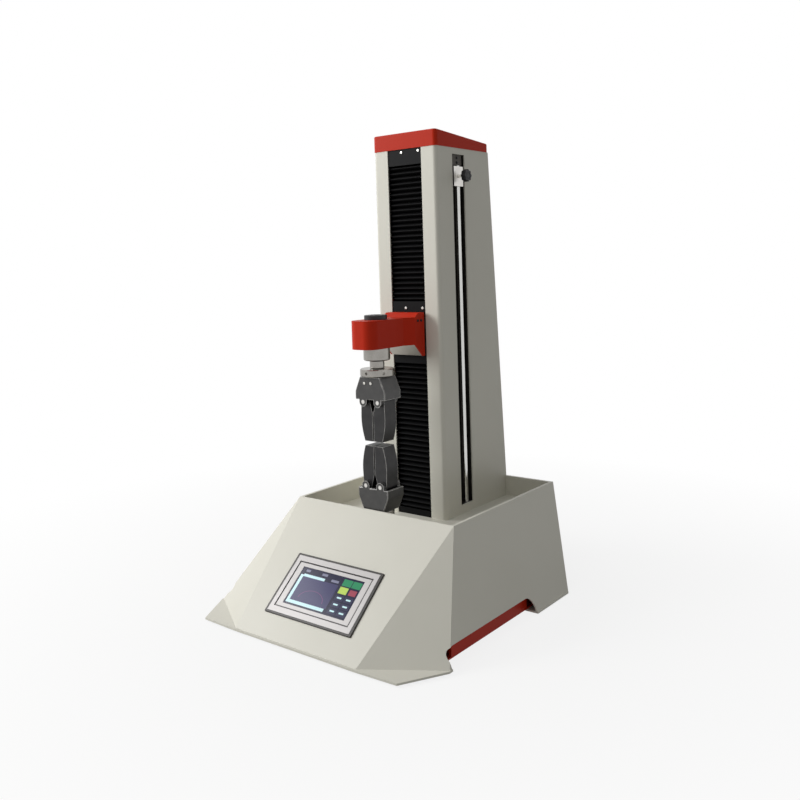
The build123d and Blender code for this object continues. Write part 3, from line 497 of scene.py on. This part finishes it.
# End strips of the bellows. Black sheet steel, one over each end of the folded cloth,
# which clamp it in the column's slot.
slot_width = 95 * mm
slot_play = 1 * mm
strip_thickness = 1.2 * mm
strip_corner = 1 * mm
cloth_gap = 0.4 * mm
cap_strip_height = 36 * mm
over_arm_strip_height = 24 * mm
under_arm_strip_height = 20 * mm
tray_strip_height = 14 * mm
strip_front = upper_low.y - cloth_gap - strip_thickness
strip_black = powder_coat("black_powder_coat", "#0A0A0B", "#101011", 0.55, 0.1)
upright = math.radians(90)
for name, body, foot, head in (
        ("strip_under_cap", "frame", upper_high.z - cap_strip_height, upper_high.z),
        ("strip_over_arm", "crosshead", upper_low.z, upper_low.z + over_arm_strip_height),
        ("strip_under_arm", "crosshead", lower_high.z - under_arm_strip_height, lower_high.z),
        ("strip_on_tray", "frame", lower_low.z, lower_low.z + tray_strip_height)):
    strip = thin_plate(slot_width - slot_play, head - foot, strip_thickness, strip_corner,
                       (0, strip_front + strip_thickness, (foot + head) / 2), upright)
    settle(strip, name, strip_black, body)


# Screws. Zinc-plated socket heads hold the bellows strips, the back panel and the upper grip's head,
# and blackened ones hold the rod's block and the arm cover; one head is modelled and copied.
def screw_head(radius, height):
    """A socket head that faces up: a round head with a rounded rim and a sunk socket."""
    tidy_selection()
    bpy.ops.mesh.primitive_cylinder_add(vertices=24, radius=radius, depth=height,
                                        location=(0, 0, height / 2))
    head = bpy.context.object
    bpy.ops.object.transform_apply(location=True)
    bpy.ops.object.mode_set(mode="EDIT")
    pick(head, "faces", lambda spot, normal: normal.z > 0.9)
    bpy.ops.mesh.bevel(offset=height / 4, segments=3, affect="EDGES")
    pick(head, "faces", lambda spot, normal: normal.z > 0.9 and spot.xy.length < radius / 10)
    bpy.ops.mesh.inset(thickness=radius * 0.3)
    bpy.ops.mesh.extrude_region_move(TRANSFORM_OT_translate={"value": (0, 0, -height * 0.6)})
    bpy.ops.object.mode_set(mode="OBJECT")
    return head


def fasten(pattern, name, place, facing, material, body):
    """Copies a small piece that stands up, such as a screw head, to a place, and turns it outwards."""
    copied = pattern.copy()
    copied.data = pattern.data.copy()
    bpy.context.scene.collection.objects.link(copied)
    copied.rotation_mode = "QUATERNION"
    copied.rotation_quaternion = Vector((0, 0, 1)).rotation_difference(Vector(facing))
    copied.location = place
    settle(copied, name, material, body)


zinc = brushed_metal("zinc_plate", "#E6E4DE", "#D2D0CA", 0.3, 0.5 * mm, across_x)
black_screw = blackened_steel("blackened_screw", "#1E1E1F", "#2A2A2B", "#8F8D8A", 0.45, 0.4 * mm)
small_head = screw_head(3 * mm, 1.6 * mm)
front_facing, back_facing, right_facing = (0, -1, 0), (0, 1, 0), (1, 0, 0)
strip_screws = (-8 * mm, 39 * mm)
cap_screw_height = upper_high.z - 7 * mm
arm_strip_screw_height = upper_low.z + 9 * mm
for count, across in enumerate(strip_screws):
    fasten(small_head, f"cap_strip_screw_{count}", (across, strip_front, cap_screw_height), front_facing,
           zinc, "frame")
    fasten(small_head, f"arm_strip_screw_{count}", (across, strip_front, arm_strip_screw_height),
           front_facing, zinc, "crosshead")

back_low, back_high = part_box("column_back_panel")
back_sheet = 3 * mm
back_height = back_high.z - back_low.z
back_slant = back_high.y - back_low.y - back_sheet
back_outward = Vector((0, back_height, back_slant)).normalized()
back_screws = 5
back_screw_offset = 76 * mm
end_share = 0.03
sides = {"left": -1, "right": 1}
for side, sign in sides.items():
    for count in range(back_screws):
        share = end_share + (1 - 2 * end_share) * count / (back_screws - 1)
        spot = (sign * back_screw_offset, back_high.y - back_slant * share, back_low.z + back_height * share)
        fasten(small_head, f"back_screw_{side}_{count}", spot, back_outward, zinc, "frame")

channel_low, channel_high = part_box("rod_channel")
block_setback = 1 * mm
block_top = channel_high.z - 2 * mm
block_screw_drops = (7.5 * mm, 18 * mm)
for count, drop in enumerate(block_screw_drops):
    fasten(small_head, f"rod_block_screw_{count}",
           (channel_high.x - block_setback, (channel_low.y + channel_high.y) / 2, block_top - drop),
           right_facing, black_screw, "frame")

arm_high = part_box("arm_cover")[1]
arm_screw_height = arm_high.z - 17 * mm
arm_screw_setbacks = (12 * mm, 24 * mm)
for side, sign in sides.items():
    for count, setback in enumerate(arm_screw_setbacks):
        fasten(small_head, f"arm_screw_{side}_{count}",
               (sign * arm_high.x, arm_high.y - setback, arm_screw_height), (sign, 0, 0),
               black_screw, "crosshead")

grip_low, grip_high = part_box("upper_grip_body")
grip_screws = (-14 * mm, 4 * mm)
grip_screw_height = grip_high.z - 14 * mm
for count, across in enumerate(grip_screws):
    fasten(small_head, f"grip_screw_{count}", (across, grip_low.y, grip_screw_height), front_facing,
           zinc, "crosshead")
bpy.data.objects.remove(small_head)


# Blades of the mains inlet. Nickel-plated brass, three of them over the stubs in the moulded socket;
# one is modelled standing up and copied to face the back.
inlet_low, inlet_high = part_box("mains_inlet")
socket_depth = 11 * mm
blade_size = (1.8 * mm, 6.3 * mm, 7.6 * mm)
blade_pitch = 9.6 * mm
tidy_selection()
bpy.ops.mesh.primitive_cube_add(size=1, location=(0, 0, 0.5))
blade = bpy.context.object
bpy.ops.object.transform_apply(location=True)
blade.scale = blade_size
bpy.ops.object.transform_apply(scale=True)
bpy.ops.object.mode_set(mode="EDIT")
pick(blade, "faces", lambda spot, normal: normal.z > 0.9)
bpy.ops.mesh.bevel(offset=0.5 * mm, segments=2, affect="EDGES")
bpy.ops.object.mode_set(mode="OBJECT")
for count in range(3):
    fasten(blade, f"inlet_blade_{count}",
           ((count - 1) * blade_pitch, inlet_high.y - socket_depth, (inlet_low.z + inlet_high.z) / 2),
           back_facing, zinc, "frame")
bpy.data.objects.remove(blade)


# Thumb knob that clamps the limit stop. Black phenolic, moulded with rounded lobes for the fingers,
# on a plated stem that screws into the stop.
knob_low, knob_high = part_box("limit_knob")
knob_radius = (knob_high.y - knob_low.y) / 2
knob_length = 12 * mm
rim_width = knob_radius * 0.35
dish_depth = 1.2 * mm
step_width = knob_radius * 0.1
boss_height = 0.8 * mm
lobes = 8
lobe_steps = (0.6, 0.1, -0.4, -0.8)
lobe_draw = 0.965
tidy_selection()
bpy.ops.mesh.primitive_cylinder_add(vertices=64, radius=knob_radius, depth=knob_length,
                                    location=(0, 0, -knob_length / 2))
knob = bpy.context.object
bpy.ops.object.transform_apply(location=True)
bpy.ops.object.mode_set(mode="EDIT")
pick(knob, "faces", lambda spot, normal: abs(normal.z) > 0.9)
bpy.ops.mesh.bevel(offset=1.2 * mm, segments=3, affect="EDGES")
pick(knob, "faces", lambda spot, normal: normal.z > 0.9 and spot.xy.length < 1 * mm)
bpy.ops.mesh.inset(thickness=rim_width)
bpy.ops.mesh.extrude_region_move(TRANSFORM_OT_translate={"value": (0, 0, -dish_depth)})
bpy.ops.mesh.inset(thickness=step_width)
bpy.ops.mesh.extrude_region_move(TRANSFORM_OT_translate={"value": (0, 0, boss_height)})
for step in lobe_steps:
    pick(knob, "verts", lambda spot, normal: spot.xy.length > 0.7 * knob_radius
         and math.cos(lobes * math.atan2(spot.y, spot.x)) < step)
    bpy.ops.transform.resize(value=(lobe_draw, lobe_draw, 1), center_override=(0, 0, 0))
bpy.ops.object.mode_set(mode="OBJECT")
knob.rotation_euler.y = math.radians(90)
knob.location = (knob_high.x, (knob_low.y + knob_high.y) / 2, (knob_low.z + knob_high.z) / 2)
settle(knob, "thumb_knob", black_abs, "limit_knob", 40)
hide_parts("limit_knob")

stem_length = knob_high.x - knob_low.x - knob_length
collar_radius = 8 * mm
collar_length = 3 * mm
tidy_selection()
bpy.ops.mesh.primitive_cylinder_add(vertices=32, radius=collar_radius, depth=collar_length,
                                    location=(0, 0, -collar_length / 2))
stem = bpy.context.object
bpy.ops.object.transform_apply(location=True)
bpy.ops.object.mode_set(mode="EDIT")
pick(stem, "faces", lambda spot, normal: abs(normal.z) > 0.9)
bpy.ops.mesh.bevel(offset=0.5 * mm, segments=2, affect="EDGES")
pick(stem, "faces", lambda spot, normal: normal.z < -0.9 and spot.xy.length < 1 * mm)
bpy.ops.mesh.inset(thickness=collar_radius / 2)
bpy.ops.mesh.extrude_region_move(TRANSFORM_OT_translate={"value": (0, 0, collar_length - stem_length)})
bpy.ops.object.mode_set(mode="OBJECT")
stem.rotation_euler.y = math.radians(90)
stem.location = (knob_high.x - knob_length, (knob_low.y + knob_high.y) / 2, (knob_low.z + knob_high.z) / 2)
settle(stem, "knob_stem", zinc, "limit_knob", 40)


# Stage. A plain white floor that keeps the machine's shadow, soft lamps at the left and above,
# and the camera where the photograph was taken from.
def seen_directly(owner):
    """One for a ray that shows its surface: from the camera, from gloss or through glass; else nothing."""
    ray = add(owner, "ShaderNodeLightPath")
    seen = add(owner, "ShaderNodeMath", {0: ray.outputs["Is Camera Ray"], 1: ray.outputs["Is Glossy Ray"]},
               operation="MAXIMUM")
    seen = add(owner, "ShaderNodeMath", {0: seen.outputs[0], 1: ray.outputs["Is Transmission Ray"]},
               operation="MAXIMUM")
    return seen.outputs[0]


tidy_selection()
bpy.ops.mesh.primitive_plane_add(size=60)
floor = bpy.context.object
floor.name = "floor"
floor_white, place = new_material("white_floor")
paper = add(floor_white, "ShaderNodeBsdfDiffuse", {"Color": linear("#D8D8D6")})
backdrop = add(floor_white, "ShaderNodeEmission", {"Color": linear("#FFFFFF"), "Strength": 1.0})
reach = add(floor_white, "ShaderNodeVectorMath", {0: place}, operation="LENGTH")
fade = add(floor_white, "ShaderNodeMapRange",
           {"Value": reach.outputs["Value"], "From Min": 0.4, "From Max": 1.5,
            "To Min": 0.84, "To Max": 1.0})
share = add(floor_white, "ShaderNodeMath", {0: seen_directly(floor_white), 1: fade.outputs[0]},
            operation="MULTIPLY")
surface = add(floor_white, "ShaderNodeMixShader",
              {0: share.outputs[0], 1: paper.outputs[0], 2: backdrop.outputs[0]})
add(floor_white, "ShaderNodeOutputMaterial", {"Surface": surface.outputs[0]})
floor.data.materials.append(floor_white)

world = bpy.data.worlds.new("studio")
bpy.context.scene.world = world
world.use_nodes = True
world.node_tree.nodes.clear()
fill = add(world, "ShaderNodeBackground", {"Color": linear("#FFFFFF"), "Strength": 0.27})
white = add(world, "ShaderNodeBackground", {"Color": linear("#FFFFFF"), "Strength": 1.0})
sky = add(world, "ShaderNodeMixShader", {0: seen_directly(world), 1: fill.outputs[0], 2: white.outputs[0]})
add(world, "ShaderNodeOutputWorld", {"Surface": sky.outputs[0]})


def lamp(name, place, aim, size, power):
    """A soft square lamp at a place, turned towards its aim."""
    light = bpy.data.lights.new(name, "AREA")
    light.size = size
    light.energy = power
    holder = bpy.data.objects.new(name, light)
    bpy.context.scene.collection.objects.link(holder)
    holder.location = place
    holder.rotation_euler = (Vector(aim) - Vector(place)).to_track_quat("-Z", "Y").to_euler()


lamp("key_lamp", (-2.3, -1.6, 1.9), (0, 0, 0.45), 1.6, 77)
lamp("top_lamp", (-0.4, -0.9, 3.2), (0, 0, 0.3), 2.0, 14)

camera_data = bpy.data.cameras.new("camera")
camera_data.sensor_width = 36
camera_data.lens = 39.39
camera_data.shift_y = -0.12
camera = bpy.data.objects.new("camera", camera_data)
bpy.context.scene.collection.objects.link(camera)
camera.location = (1.2108, -1.5028, 0.7471)
camera.rotation_euler = [math.radians(turn) for turn in (87.338, 1.76, 38.023)]
bpy.context.scene.camera = camera
bpy.context.scene.view_settings.view_transform = "Standard"
